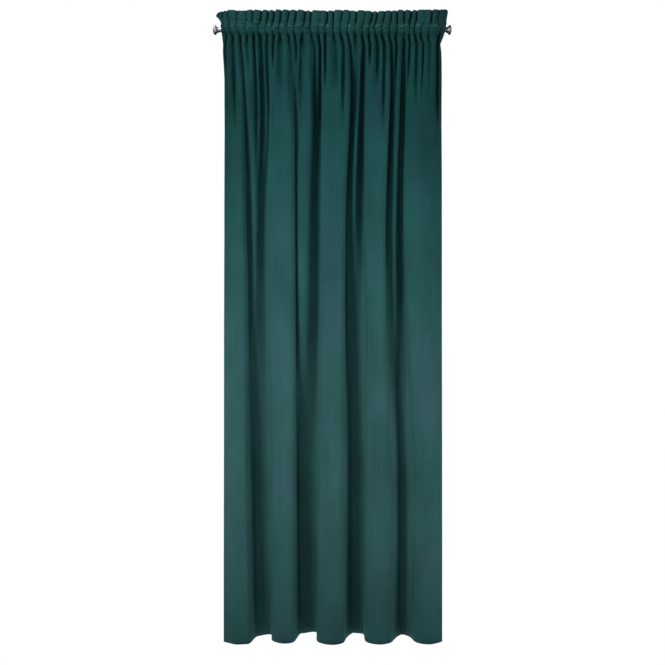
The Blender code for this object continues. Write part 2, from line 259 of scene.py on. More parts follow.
# The heights of the places across, from below the lower seam to the tip, and how much higher the
# ruffle stands left of the first valley, in millimetres
PLEAT_HEIGHTS = (-0.0765, -0.030, 0.004, 0.030, 0.0765)
LEFT_RISE = -5

# Short creases of the gathered pocket, in millimetres: from and to a place across and a height,
# half the width, and how far the cloth stands out, or back where it is less than zero
Crease = namedtuple("Crease", "across height to_across to_height half out")
CREASES = [Crease(*row) for row in (
    (-426, 31, -409, 31, 3, 2.4),
    (-398, 25, -375, 25, 4, 5.6),
    (-375, 21, -333, 20, 4, 2.4),
    (-335, 18, -311, 22, 4, 4.0),
    (-324, 28, -307, 29, 3, 3.2),
    (-303, 28, -286, 27, 3, 3.2),
    (-284, 25, -287, 13, 3, 2.4),
    (-268, 28, -260, 28, 3, 3.2),
    (-222, 23, -239, -4, 3, 3.2),
    (-122, 25, -150, 6, 4, 4.8),
    (-99, 25, -120, 0, 4, 4.0),
    (-85, 6, -75, -19, 3, 3.2),
    (-50, 13, -31, 13, 5, 3.2),
    (-18, 5, -10, 7, 3, 3.2),
    (-3, 34, -3, 21, 3, 2.4),
    (80, 21, 97, 11, 5, 4.0),
    (122, 21, 105, -6, 4, 3.2),
    (154, 13, 135, -13, 4, 4.0),
    (205, 2, 197, -17, 4, 3.2),
    (214, 8, 228, 7, 3, 3.2),
    (235, 23, 243, 23, 3, 2.4),
    (341, 13, 340, -8, 4, 2.4),
    (373, -21, 388, -34, 4, 3.2),
    (386, 0, 390, -13, 7, 2.4),
    (403, -23, 407, -34, 5, 2.4),
    (411, 0, 437, -13, 8, 2.4),
    (-396, 36, -359, 35, 3, -4.0),
    (-432, 34, -409, 37, 3, -1.92),
    (-324, 36, -303, 36, 3, -2.4),
    (-318, 13, -305, 0, 5, -4.0),
    (-294, 4, -290, -8, 3, -2.4),
    (-154, 0, -133, -1, 4, -2.4),
    (-137, 30, -120, 32, 3, -2.4),
    (-116, -6, -90, 4, 5, -4.0),
    (-71, 6, -54, 13, 3, -2.4),
    (-56, 3, -31, 0, 3, -1.6),
    (-16, -4, -5, -2, 3, -1.92),
    (84, -13, 101, -17, 4, -4.0),
    (97, -30, 105, -28, 3, -3.2),
    (131, 16, 134, 9, 3, -3.2),
    (214, -7, 228, -6, 3, -3.2),
    (208, 8, 211, -17, 3, -2.4),
    (377, 11, 394, 15, 5, -2.4),
    (407, 11, 428, 11, 5, -3.2),
    (379, 2, 379, -8, 3, -1.92),
)]

# The folds in millimetres, from left to right, one on a line: five stand forward, with four
# behind between them. Each is a run of points, with the place across and how far back the cloth
# stands. Forward is less than zero, and edge is how far back the two side edges stand
Section = namedtuple("Section", "height edge folds")
BELOW_POCKET = Section(-255, -8, (
    ((-440, -15), (-413, -13), (-385, -17)),
    ((-375, 20), (-363, -4), (-336, 3), (-271, 26)),
    ((-257, -13), (-218, -20), (-172, -17)),
    ((-160, 16), (-146, 9), (-98, -12), (-50, 28)),
    ((-38, -15), (18, -21), (69, -21)),
    ((80, 30), (96, 6), (111, -7), (132, 25)),
    ((145, -14), (196, -20), (238, -19)),
    ((250, 32), (264, 2), (281, -14), (300, 23)),
    ((340, -13), (378, -18), (420, -15)),
))
UPPER_DROP = Section(-722, -15, (
    ((-438, -26), (-409, -34), (-376, -31)),
    ((-364, 26), (-350, 14), (-331, -3), (-286, 36)),
    ((-262, -22), (-215, -34), (-165, -32)),
    ((-154, 14), (-144, -17), (-108, -14), (-53, 38)),
    ((-43, -27), (8, -36), (51, -31)),
    ((63, 34), (77, 22), (92, 1), (134, 38)),
    ((146, -25), (190, -34), (222, -31)),
    ((233, 28), (248, 10), (266, -6), (298, 38)),
    ((315, -22), (378, -33), (432, -26)),
))
MIDDLE_DROP = Section(-1232, -19, (
    ((-436, -34), (-405, -43), (-365, -37)),
    ((-354, 24), (-342, 12), (-329, 10), (-280, 36)),
    ((-256, -26), (-208, -40), (-164, -36)),
    ((-153, 15), (-142, -9), (-112, -5), (-53, 38)),
    ((-43, -28), (4, -44), (43, -37)),
    ((60, 34), (78, 41), (100, 35), (138, 16)),
    ((154, -30), (190, -42), (219, -37)),
    ((232, 6), (246, 12), (268, 8), (312, 36)),
    ((327, -26), (384, -40), (438, -31)),
))
LOWER_DROP = Section(-1785, -23, (
    ((-434, -38), (-401, -49), (-364, -41)),
    ((-350, 12), (-334, 30), (-308, 40), (-266, 28)),
    ((-250, -28), (-206, -43), (-164, -37)),
    ((-150, 14), (-137, 29), (-112, 40), (-60, 42)),
    ((-48, -32), (4, -51), (44, -42)),
    ((62, 4), (76, 30), (97, 42), (132, 32)),
    ((152, -28), (197, -49), (234, -40)),
    ((252, -20), (274, 6), (304, 33), (332, 6)),
    ((362, -32), (400, -48), (442, -38)),
))
AT_HEM = Section(-2586, -26, (
    ((-435, -38), (-395, -52), (-350, -40)),
    ((-328, 2), (-314, 18), (-291, 32), (-262, 34)),
    ((-253, -18), (-208, -43), (-166, -34)),
    ((-145, 12), (-133, 34), (-112, 50), (-70, 56)),
    ((-61, -28), (-3, -54), (44, -38)),
    ((60, 6), (72, 27), (101, 46), (132, 40)),
    ((143, -28), (196, -53), (244, -38)),
    ((264, -6), (280, 18), (304, 32), (331, 14)),
    ((353, -33), (403, -51), (444, -38)),
))
SECTIONS = (AT_HEM, LOWER_DROP, MIDDLE_DROP, UPPER_DROP, BELOW_POCKET)

# Soft ridges along the folds, in millimetres: across at the upper end and at the lower end, the
# two ends' heights, half the width, and how far the cloth stands out, or back where it is less
# than zero. Each fades towards its ends, and some would end below the hem
Ridge = namedtuple("Ridge", "upper_across lower_across top bottom half out")
RIDGES = [Ridge(*row) for row in (
    (29, 20, -190, -415, 9, 3.5),
    (199, 186, -150, -405, 8, 3.5),
    (352, 343, -125, -720, 9, 4.0),
    (-178, -172, -240, -525, 7, 3.0),
    (237, 237, -190, -425, 7, 3.0),
    (68, 66, -120, -420, 6, 3.0),
    (-377, -377, -60, -200, 5, -9.0),
    (434, 424, -150, -600, 9, -3.0),
    (372, 386, -150, -480, 9, -2.5),
    (-142, -138, -1450, -2950, 13, -20),
    (-332, -322, -1250, -2780, 12, -13),
    (86, 88, -1400, -3000, 12, -12),
    (286, 296, -1200, -2640, 14, -14),
    (-352, -347, -1700, -3400, 12, 7),
)]
RIDGE_FULLNESS = 0.7

# The camera, which looks level along +Y, and the width that it sees at the rod. The middle of
# its picture is a place across and a height
CAMERA_BACK = 3.0
CAMERA_HEIGHT = -1.125
SEEN_WIDTH = 2.826
SEEN_MIDDLE = (0.001, -1.2856)
SENSOR = 36.0

# The lights stand round the curtain: degrees to the right of its front, metres away, the height,
# the light's width and height, and its power. Each faces a part of its own height, lowered
Light = namedtuple("Light", "name azimuth away height wide tall watts")
LIGHTS = (
    Light("key", -46, 2.8, -0.60, 0.9, 3.4, 58),
    Light("front", -6, 3.0, -0.50, 0.9, 1.0, 18),
    Light("right", 66, 2.8, -0.60, 0.9, 3.4, 48),
    Light("top", -44, 0.9, 1.15, 0.7, 0.5, 16),
)
AIM_PART = 0.6
AIM_LOWER = 0.5
WORLD_LIGHT = 0.06
WORLD_COLOUR = (0.25, 0.65, 1.0)

# The backdrop, which only gives light: half its width, its floor, where its bend starts, the
# bend's radius and steps, the wall's top, its paint, and where the paint's glow starts
BACKDROP_HALF = 4.5
FLOOR_BELOW_HEM = 0.120
FLOOR_FRONT = -6.0
BACKDROP_BEND_START = 1.6
BACKDROP_BEND = 0.9
BEND_STEPS = 12
WALL_TOP = 4.0
BACKDROP_PALE = 0.60
BACKDROP_GLOW = 0.95
GLOW_START = -0.06
GLOW_FULL = 0.01

# The white surround that the camera sees
SURROUND_RADIUS = 12.0
WHITE = (1.0, 1.0, 1.0, 1.0)
BLACK = (0.0, 0.0, 0.0, 1.0)

# The velvet's colour up the flat cloth, with painted shade in it: darker towards the gathers at the top
# and a little at the hem, lighter about the middle. The length up the flat cloth from the hem, and the
# colour
VELVET_TONES_WITH_PAINTED_SHADE = (
    (0.00, (0.0225, 0.0735, 0.0765)),
    (0.55, (0.0330, 0.1060, 0.1080)),
    (1.05, (0.0330, 0.1070, 0.1090)),
    (1.55, (0.0230, 0.0925, 0.0935)),
    (1.90, (0.0150, 0.0775, 0.0775)),
    (2.25, (0.0090, 0.0540, 0.0545)),
    (2.48, (0.0070, 0.0470, 0.0485)),
    (2.575, (0.0072, 0.0425, 0.0430)),
    (2.64, (0.0100, 0.0495, 0.0490)),
)

# The grain of the materials: lumps in a metre along each axis, and the noise's detail. The
# velvet's lie on the flat cloth, across it and up it
Grain = namedtuple("Grain", "x y z detail")
CRUSHED = Grain(9.0, 3.6, 1.0, 3.0)
STREAKS = Grain(95.0, 3.0, 1.0, 2.0)
PILE = Grain(900.0, 700.0, 1.0, 2.0)
HUE_PATCHES = Grain(5.0, 2.4, 1.0, 2.0)
# The grain of the painted highlight under the upper seam: its waves and its lengths
PAINTED_HIGHLIGHT_WAVE_GRAIN = Grain(24.0, 8.0, 1.0, 2.0)
PAINTED_HIGHLIGHT_LENGTH_GRAIN = Grain(42.0, 30.0, 1.0, 1.0)
THREAD_TWIST = Grain(2600.0, 2600.0, 900.0, 1.0)
TURNED_RINGS = Grain(2200.0, 60.0, 60.0, 2.0)

# Most of a noise lies between these two of its values
NOISE_LOW = 0.35
NOISE_HIGH = 0.65

# The velvet's mottle: how strong it is, and each grain's part in it. Its hue goes from patch to
# patch between two tints
VELVET_MOTTLE = 0.56
CRUSHED_PART = 0.60
STREAKS_PART = 0.22
PILE_PART = 0.18
GREENER = (0.88, 1.02, 0.94)
GREYER = (1.16, 0.99, 1.04)

# A painted highlight in short wavy lengths under the upper seam: how far up the flat cloth it lies, how
# far it waves, half its width, how much lighter it is, and the values of the noise over which it sets
# in
PAINTED_HIGHLIGHT_AT = 2.6215
PAINTED_HIGHLIGHT_WAVES = 0.016
PAINTED_HIGHLIGHT_HALF = 0.0060
PAINTED_HIGHLIGHT_STRENGTH = 1.25
PAINTED_HIGHLIGHT_OVER = (0.44, 0.62)

# Painted shade beside the cloth's side edges, high up: how much darker, how far in, and over which
# lengths up the flat cloth that sets in
SIDE_PAINTED_SHADE = 0.36
SIDE_BAND = 0.11
SIDE_HEIGHTS = (1.3, 2.1)

# The thread's two tones, and the metals' colour with their least and greatest roughness
THREAD_DARK = (0.0070, 0.0400, 0.0410)
THREAD_LIGHT = (0.0140, 0.0740, 0.0740)
Metal = namedtuple("Metal", "name colour smoothest roughest")
STEEL = Metal("rod_steel", (0.50, 0.50, 0.51), 0.24, 0.38)
CHROME = Metal("cap_chrome", (0.38, 0.34, 0.345), 0.42, 0.55)


def smooth(low, high, value):
    """0 below low and 1 above high, with an even rise between them."""
    u = np.clip((value - low) / (high - low), 0.0, 1.0)
    return u * u * (3.0 - 2.0 * u)


def spline(knots, values, at):
    """Values read at some places from a smooth curve through the rows of values at the knots."""
    steps = np.diff(knots)
    slopes = np.diff(values, axis=0) / steps[:, None]
    before, after = steps[:-1, None], steps[1:, None]
    inner = (slopes[:-1] * after + slopes[1:] * before) / (before + after)
    tangents = np.vstack([slopes[:1], inner, slopes[-1:]])
    i = np.clip(np.searchsorted(knots, at) - 1, 0, len(steps) - 1)
    step = steps[i][:, None]
    u = (at - knots[i])[:, None] / step
    rise = u * u * (3.0 - 2.0 * u)
    start = u * (1.0 - u) ** 2 * step
    end = u * u * (1.0 - u) * step
    return values[i] * (1.0 - rise) + values[i + 1] * rise + tangents[i] * start - tangents[i + 1] * end


def sides(height):
    """Where the left and the right edge of the cloth stand at a height."""
    return np.interp(height, EDGES.height, EDGES.left), np.interp(height, EDGES.height, EDGES.right)


def fold_points(section):
    """A section's points across and back, from the left edge over all the folds to the right edge."""
    left, right = sides(section.height / 1000)
    points = [(left, section.edge / 1000)]
    for fold in section.folds:
        points += [(across / 1000, back / 1000) for across, back in fold]
    points.append((right, section.edge / 1000))
    return np.array(points)


def header_shares():
    """The share of the cloth's width that lies left of each fold point, as gathered on the rod."""
    across = fold_points(BELOW_POCKET)[:, 0]
    return (across - across[0]) / (across[-1] - across[0])


def seam_points():
    """The fold points at the lower seam, where the cloth hangs in one plane."""
    left, right = sides(LOWER_SEAM)
    across = left + header_shares() * (right - left)
    return np.column_stack([across, np.full_like(across, -SEAM_FORWARD)])


FOLD_HEIGHTS = np.array([section.height / 1000 for section in SECTIONS] + [LOWER_SEAM])
FOLD_POINTS = np.array([fold_points(section).ravel() for section in SECTIONS] + [seam_points().ravel()])


def pocket_place(height):
    """Where a height lies in the pocket, from -1 at the lower seam to 1 at the upper one."""
    return (height - (UPPER_SEAM + LOWER_SEAM) / 2) / ((UPPER_SEAM - LOWER_SEAM) / 2)


def fold_run(height):
    """The broad folds below the pocket: points across and back, with the cloth's share and the
    length along the section at each of them, and the lengths at the folds' edges."""
    points = spline(FOLD_HEIGHTS, FOLD_POINTS, np.array([height]))[0].reshape(-1, 2)
    points[0, 0], points[-1, 0] = sides(height)
    chords = np.hypot(*np.diff(points, axis=0).T)
    knots = np.concatenate([[0.0], np.cumsum(np.sqrt(chords))])
    at = np.linspace(0.0, knots[-1], SECTION_STEPS)
    run = spline(knots, points, at)
    lengths = np.concatenate([[0.0], np.cumsum(np.hypot(*np.diff(run, axis=0).T))])
    by_length = lengths / lengths[-1]
    by_header = np.interp(at, knots, header_shares())
    settled = GATHERS_EVENED * smooth(*EVENED_OVER, -height)
    shares = by_header * (1.0 - settled) + by_length * settled
    lasts = np.cumsum([len(fold) for fold in BELOW_POCKET.folds])[:-1]
    edges = (knots[lasts] + knots[lasts + 1]) / 2
    return run, shares, lengths, np.interp(edges, at, lengths)


def main_folds(height, shares):
    """Points (across, back) of the broad folds at a height, for shares of the cloth's width."""
    if height >= LOWER_SEAM:
        left, right = sides(height)
        forward = SEAM_FORWARD * min(1.0, abs(pocket_place(height))) ** SEAM_SWEEP
        return np.column_stack([left + shares * (right - left), np.full_like(shares, -forward)])
    run, run_shares, _, _ = fold_run(height)
    return np.column_stack([np.interp(shares, run_shares, run[:, i]) for i in (0, 1)])


def crowded(height, shares):
    """Shares of the cloth's width for the mesh's columns, which gather at the folds' edges."""
    if height >= LOWER_SEAM:
        return shares
    _, run_shares, lengths, edges = fold_run(height)
    near = np.exp(-(((lengths[:, None] - edges) / CROWD_WIDTH) ** 2)).sum(axis=1)
    amount = np.cumsum((1.0 + CROWD * near) * np.gradient(lengths))
    amount = (amount - amount[0]) / (amount[-1] - amount[0])
    even = np.linspace(0.0, 1.0, len(shares))
    part = smooth(*CROWD_OVER, -height)
    return shares * (1.0 - part) + np.interp(even, amount, run_shares) * part


def pleat_lines(height):
    """The shares of the cloth's width at which the pleats' valleys lie, with both edges."""
    places = np.array([PLEATS.drop, PLEATS.gather, PLEATS.rod, PLEATS.seam, PLEATS.tip]) / 1000
    at = np.clip(height, PLEAT_HEIGHTS[0], PLEAT_HEIGHTS[-1])
    across = spline(np.array(PLEAT_HEIGHTS), places, np.array([at]))[0]
    left, right = sides(max(height, PLEAT_HEIGHTS[0]))
    return np.concatenate([[0.0], (across - left) / (right - left), [1.0]])


def pleat_reach(height):
    """Half of a full pleat's depth at a height."""
    heights = (PLEATS_GONE, *FULL_REACH, LOWER_SEAM, 0.0, UPPER_SEAM, RUFFLE_TOP)
    reaches = (0.0, DROP_REACH, DROP_REACH, SEAM_REACH, POCKET_REACH, SEAM_REACH, RUFFLE_REACH)
    return np.interp(height, heights, reaches)


def pleat_shares(height):
    """How deep each valley is at a height, as a share of the full depth."""
    pocket = POCKET_LEAST + (1.0 - POCKET_LEAST) * PLEATS.pocket
    places = np.arange(PLEAT_COUNT) * PLEAT_LUMPS
    start = V_TOP + V_TOP_UNEVEN * uneven(places, HALF_LUMP, V_TOP_SEED)
    above = smooth(*TO_RUFFLE, height)
    below = 1.0 - smooth(start - V_TOP_LENGTH, start, height)
    shares = PLEATS.top * above + PLEATS.share * below + pocket * (1.0 - above - below)
    gone = PLEATS.gone / 1000
    return shares * (1.0 - smooth(gone * FADE_START, gone * FADE_END, -height))


def pleat_halves(height):
    """Half of each valley's width at a height: a narrow slit down to the lower seam, then wider."""
    drop = DROP_WIDER * PLEATS.half / 1000
    widen = 1.0 - smooth(PLEAT_HEIGHTS[0], LOWER_SEAM, height)
    slit = SLIT_HALF + (POCKET_HALF - SLIT_HALF) * (1.0 - smooth(0.0, UPPER_SEAM, height))
    return slit + (drop - slit) * widen


def band_lean(height, shares):
    """How far the bands between the valleys stand back at one side and forward at the other."""
    place = np.interp(shares, pleat_lines(height), np.arange(PLEAT_COUNT + 2))
    bands = np.arange(PLEAT_COUNT + 2) * PLEAT_LUMPS + HALF_LUMP
    leans = uneven(bands, height / LEAN_LENGTH, LEAN_SEED)
    lean = BAND_LEAN * smooth(*LEAN_OVER, height) * leans[place.astype(int)]
    return lean * np.sin(2.0 * math.pi * place)


def pleats(height, shares):
    """How far the pleats set the cloth back at a height, for shares of the cloth's width."""
    left, right = sides(height)
    away = (shares[:, None] - pleat_lines(height)[None, 1:-1]) * (right - left)
    halves = pleat_halves(height)[None, :] * np.where(away < 0.0, LEFT_SIDE, 2.0 - LEFT_SIDE)
    slit = 1.0 / (1.0 + (away / halves) ** VALLEY_SQUARE)
    slope = np.exp(-((away / (SOFT_WIDER * halves)) ** 2))
    valleys = slit * (1.0 - SOFT_PART) + slope * SOFT_PART
    reach = pleat_reach(height)
    deeper = 1.0 - smooth(*DEEPER_OVER, height)
    groove = 2.0 * (reach + (DROP_REACH - reach) * deeper)
    return valleys @ pleat_shares(height) * groove - reach + band_lean(height, shares)


def pocket_spread(height):
    """How far each layer of the pocket stands from the middle of the two."""
    full = ROD_RADIUS + POCKET_GAP + POCKET_REACH
    bulge = max(0.0, 1.0 - abs(pocket_place(height)) ** POCKET_FULLNESS)
    return SEAM_PINCH + (full - SEAM_PINCH) * bulge


def layer_spread(height):
    """How far each of the two layers stands from their middle, at any height of the cloth."""
    if height < LOWER_SEAM:
        return SEAM_PINCH * smooth(LOWER_SEAM - LAYERS_CLOSE, LOWER_SEAM, height)
    if height > UPPER_SEAM:
        return SEAM_PINCH + (RUFFLE_OPEN - SEAM_PINCH) * smooth(UPPER_SEAM, RUFFLE_TOP, height)
    return pocket_spread(height)


def ruffle_lift(height, columns):
    """How much higher the ruffle stands, band by band, and in the valleys between them."""
    rises = np.array([LEFT_RISE, *PLEATS.rise]) / 1000
    valley = np.interp(columns, np.arange(PLEAT_COUNT + 2), [0.0, *PLEATS.top, 0.0])
    valley *= np.cos(math.pi * (columns - np.rint(columns))) ** VALLEY_TIP
    part = smooth(UPPER_SEAM, RUFFLE_TOP, height)
    return part * (np.interp(columns - 0.5, np.arange(len(rises)), rises) + VALLEY_RISE * valley)


def uneven(across, down, seed):
    """Smooth unevenness between -1 and 1, with a lump to each whole step either way."""
    lumps = np.random.default_rng(seed).uniform(-1.0, 1.0, (LUMPS, LUMPS))
    across, down = np.broadcast_arrays(across, down)
    i, j = np.floor(across).astype(int), np.floor(down).astype(int)
    u, v = smooth(0.0, 1.0, across - i), smooth(0.0, 1.0, down - j)
    left, right, near, far = i % LUMPS, (i + 1) % LUMPS, j % LUMPS, (j + 1) % LUMPS
    nearer = lumps[left, near] * (1.0 - u) + lumps[right, near] * u
    farther = lumps[left, far] * (1.0 - u) + lumps[right, far] * u
    return nearer * (1.0 - v) + farther * v


def creases(height, across):
    """How far the pocket's short creases stand out of it."""
    out = np.zeros_like(across)
    for crease in CREASES:
        start = np.array([crease.across, crease.height]) / 1000
        run = np.array([crease.to_across, crease.to_height]) / 1000 - start
        away = np.column_stack([across, np.full_like(across, height)]) - start
        along = np.clip(away @ run / (run @ run), 0.0, 1.0)
        away -= along[:, None] * run
        out += crease.out / 1000 * np.exp(-(away ** 2).sum(axis=1) / (crease.half / 1000) ** 2)
    return out


def unevenness(kind, across, height, shift=0.0):
    """How far one kind of small unevenness sets the cloth forward, shifted by some lumps."""
    return kind.out * uneven(across / kind.wide + shift, height / kind.tall, kind.seed)


def slackness(height, across, side):
    """How far the cloth is set forward, broadly and slowly in the drop, and by the puckers of the
    pocket, which differ between the two layers."""
    slack = unevenness(SLOW, across, height) + unevenness(FINE, across, height)
    slack *= smooth(*SLACK_STARTS, -height) * (1.0 - LESS_AT_HEM * smooth(*SLACK_LESS, -height))
    puckers = unevenness(PUCKERS, across, height, side)
    return slack + puckers * (1.0 - smooth(*PUCKERS_END, abs(height)))


def seam_lip(height, across):
    """How far the cloth puffs out in short lengths just under the upper seam."""
    puff = np.maximum(0.0, LIP_EVEN + uneven(across / LIP_LENGTH, HALF_LUMP, LIP_SEED))
    return LIP * puff * math.exp(-(((height - LIP_HEIGHT) / LIP_HALF) ** 2))


def ridges(height, across):
    """How far the soft ridges stand out of the folds."""
    out = np.zeros_like(across)
    for ridge in RIDGES:
        top, bottom = ridge.top / 1000, ridge.bottom / 1000
        down = (top - height) / (top - bottom)
        if 0.0 < down < 1.0:
            middle = (ridge.upper_across + (ridge.lower_across - ridge.upper_across) * down) / 1000
            swell = np.exp(-(((across - middle) / (ridge.half / 1000)) ** 2))
            out += ridge.out / 1000 * math.sin(math.pi * down) ** RIDGE_FULLNESS * swell
    return out


def rod_clear(height):
    """The least distance of the cloth from the rod's axis, which is no limit beyond the rod."""
    around = ROD_RADIUS + ROD_GAP
    return math.sqrt(around ** 2 - height ** 2) if abs(height) < around else -math.inf


def cloth_row(height, columns, side, spread):
    """Points along the cloth at a height. The side is -1 for the front layer and 1 for the back one."""
    shares = np.interp(columns, np.arange(PLEAT_COUNT + 2), pleat_lines(height))
    shares = crowded(height, shares)
    line = main_folds(height, shares)
    line[:, 1] += pleats(height, shares)
    run = np.gradient(line, axis=0)
    run /= np.linalg.norm(run, axis=1)[:, None]
    backward = np.column_stack([-run[:, 1], run[:, 0]])
    near = min(spread, RUFFLE_OPEN)
    points = line + backward * side * near
    points[:, 1] += side * (spread - near)
    points[:, 1] -= ridges(height, line[:, 0]) + slackness(height, line[:, 0], side)
    if side < 0:
        points[:, 1] -= creases(height, line[:, 0]) + seam_lip(height, line[:, 0])
    points[:, 1] = side * np.maximum(side * points[:, 1], rod_clear(height))
    return np.column_stack([points, height + ruffle_lift(height, columns)])


def row_heights(table):
    """The heights of all the rows in a table, but for the first one's start."""
    return np.concatenate([np.linspace(rows.low, rows.high, rows.count + 1)[1:] for rows in table])


def cloth_grid(columns):
    """Rows of points up the front, over the rolled top and down the back, with each row's height
    and which way it faces."""
    plan = [(z, -1, layer_spread(z)) for z in (HEM, *row_heights(FRONT_ROWS))]
    roll = RUFFLE_TOP - TOP_ROLL
    for i in range(1, ROLL_STEPS):
        turn = math.pi * i / ROLL_STEPS
        side = -1 if turn < math.pi / 2 else 1
        plan.append((roll + TOP_ROLL * math.sin(turn), side, layer_spread(roll) * abs(math.cos(turn))))
    plan += [(z, 1, layer_spread(z)) for z in (roll, *row_heights(BACK_ROWS))]
    grid = np.array([cloth_row(height, columns, side, spread) for height, side, spread in plan])
    heights, facing, _ = np.array(plan).T
    return grid, heights, facing


def grid_normals(grid):
    """Unit normals of a grid of points, on the side that shows in the finished cloth."""
    across = np.gradient(grid, axis=1)
    up = np.gradient(grid, axis=0)
    normals = np.cross(across, up)
    return normals / np.linalg.norm(normals, axis=2)[:, :, None]


def hem_depth(grid, heights, facing):
    """How much thicker the cloth is behind, along the bottom hem and the two side hems."""
    lengths = np.linalg.norm(np.diff(grid, axis=1), axis=2).cumsum(axis=1)
    lengths = np.concatenate([np.zeros((len(grid), 1)), lengths], axis=1)
    to_side = np.minimum(lengths, lengths[:, -1:] - lengths)
    side = 1.0 - smooth(SIDE_HEM - SIDE_STEP_HALF, SIDE_HEM + SIDE_STEP_HALF, to_side)
    bottom = 1.0 - smooth(HEM_EDGE - BOTTOM_STEP_HALF, HEM_EDGE + BOTTOM_STEP_HALF, heights)[:, None]
    return HEM_STEP * np.maximum(side, bottom * (facing < 0)[:, None])


def add_object(name, data):
    """An object of the scene with some mesh, lamp or camera data."""
    thing = bpy.data.objects.new(name, data)
    bpy.context.scene.collection.objects.link(thing)
    return thing


def add_mesh(name, points, faces):
    """A smooth mesh as an object of the scene."""
    data = bpy.data.meshes.new(name)
    data.from_pydata(points.tolist(), [], faces)
    data.shade_smooth()
    return add_object(name, data)


def add_shape(name, shape):
    """A bmesh as an object of the scene."""
    data = bpy.data.meshes.new(name)
    shape.to_mesh(data)
    shape.free()
    return add_object(name, data)


def mesh_of_grids(name, outer, inner, flat):
    """A closed sheet between two grids of points, with the cut cloth's flat places as its map."""
    rows, count = outer.shape[:2]
    points = np.concatenate([outer.reshape(-1, 3), inner.reshape(-1, 3)])
    index = np.arange(rows * count).reshape(rows, count)
    a, b = index[:-1, :-1].ravel(), index[:-1, 1:].ravel()
    c, d = index[1:, 1:].ravel(), index[1:, :-1].ravel()
    shift = rows * count
    faces = [np.column_stack([a, b, c, d]), np.column_stack([a, d, c, b]) + shift]
    loop = np.concatenate([index[0, :-1], index[:-1, -1], index[-1, :0:-1], index[:0:-1, 0]])
    ahead = np.roll(loop, -1)
    faces.append(np.column_stack([ahead, loop, loop + shift, ahead + shift]))
    faces = np.concatenate(faces)
    sheet = add_mesh(name, points, faces.tolist())
    places = np.concatenate([flat.reshape(-1, 2), flat.reshape(-1, 2)])
    layer = sheet.data.uv_layers.new(name="cut_cloth")
    layer.data.foreach_set("uv", places[faces.ravel()].ravel())
    return sheet


def run_lengths(line):
    """How far along a line each of its points lies."""
    steps = np.linalg.norm(np.diff(line, axis=0), axis=1)
    return np.concatenate([[0.0], steps.cumsum()])


def read_along(line, lengths, at):
    """Values of a line's points at some lengths along it."""
    return np.stack([np.interp(at, lengths, line[:, i]) for i in range(3)], axis=-1)


def stitch_rings(line, normals):
    """The rings of points round the thread of each stitch in a row along a line on the cloth."""
    lengths = run_lengths(line)
    count = int((lengths[-1] - 2.0 * ROW_STOPS) / STITCH_PITCH)
    middles = (lengths[-1] - (count - 1) * STITCH_PITCH) / 2.0 + np.arange(count) * STITCH_PITCH
    part = np.linspace(-1.0, 1.0, STITCH_RINGS)
    at = middles[:, None] + part * STITCH_LENGTH / 2.0
    places = read_along(line, lengths, at)
    out = read_along(normals, lengths, at)
    out /= np.linalg.norm(out, axis=2)[:, :, None]
    aside = np.cross(out, np.gradient(places, axis=1))
    aside /= np.linalg.norm(aside, axis=2)[:, :, None]
    places += out * (STITCH_RISE - STITCH_SINK * part ** 2)[:, None]
    turns = np.linspace(0.0, 2.0 * math.pi, STITCH_SIDES, endpoint=False)[:, None]
    rings = np.cos(turns) * out[:, :, None] + np.sin(turns) * aside[:, :, None]
    radius = THREAD_RADIUS * (1.0 - THREAD_TAPER * part ** 4)
    return places[:, :, None] + rings * radius[:, None, None]


def add_stitches(seams, material):
    """All the rows of stitches, as one mesh. A seam is a line on the cloth and its normals."""
    rings = np.concatenate([stitch_rings(line, normals) for line, normals in seams])
    index = np.arange(rings[..., 0].size).reshape(rings.shape[:3])
    ahead = np.roll(index, -1, axis=2)
    walls = np.stack([index[:, :-1], ahead[:, :-1], ahead[:, 1:], index[:, 1:]], axis=-1)
    faces = walls.reshape(-1, 4).tolist()
    faces += index[:, 0, ::-1].tolist() + index[:, -1].tolist()
    stitches = add_mesh("seam_stitches", rings.reshape(-1, 3), faces)
    stitches.data.materials.append(material)
    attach(stitches, "root")
    return stitches


def side_hem_line(grid, rows, from_left):
    """The line on the cloth along the inner edge of a side hem."""
    line = []
    for row in grid[rows]:
        lengths = run_lengths(row)
        at = SIDE_HEM - HEM_STITCHED if from_left else lengths[-1] - SIDE_HEM + HEM_STITCHED
        line.append(read_along(row, lengths, at))
    return np.array(line)


def seam_lines(outer, inner, normals, heights, facing):
    """The lines along which the cloth is stitched, with its normals there."""
    seams = []
    for side in (-1, 1):
        for height in (UPPER_SEAM, LOWER_SEAM):
            row = np.argmin(np.abs(heights - height) + (facing != side))
            seams.append((outer[row], normals[row]))
    row = np.argmin(np.abs(heights - (HEM_EDGE - BOTTOM_STEP_HALF)))
    seams.append((inner[row], -normals[row]))
    drop = np.flatnonzero((facing < 0) & (heights < LOWER_SEAM))
    for from_left in (True, False):
        line = side_hem_line(inner, drop, from_left)
        seams.append((line, np.tile((0.0, 1.0, 0.0), (len(line), 1))))
    return seams


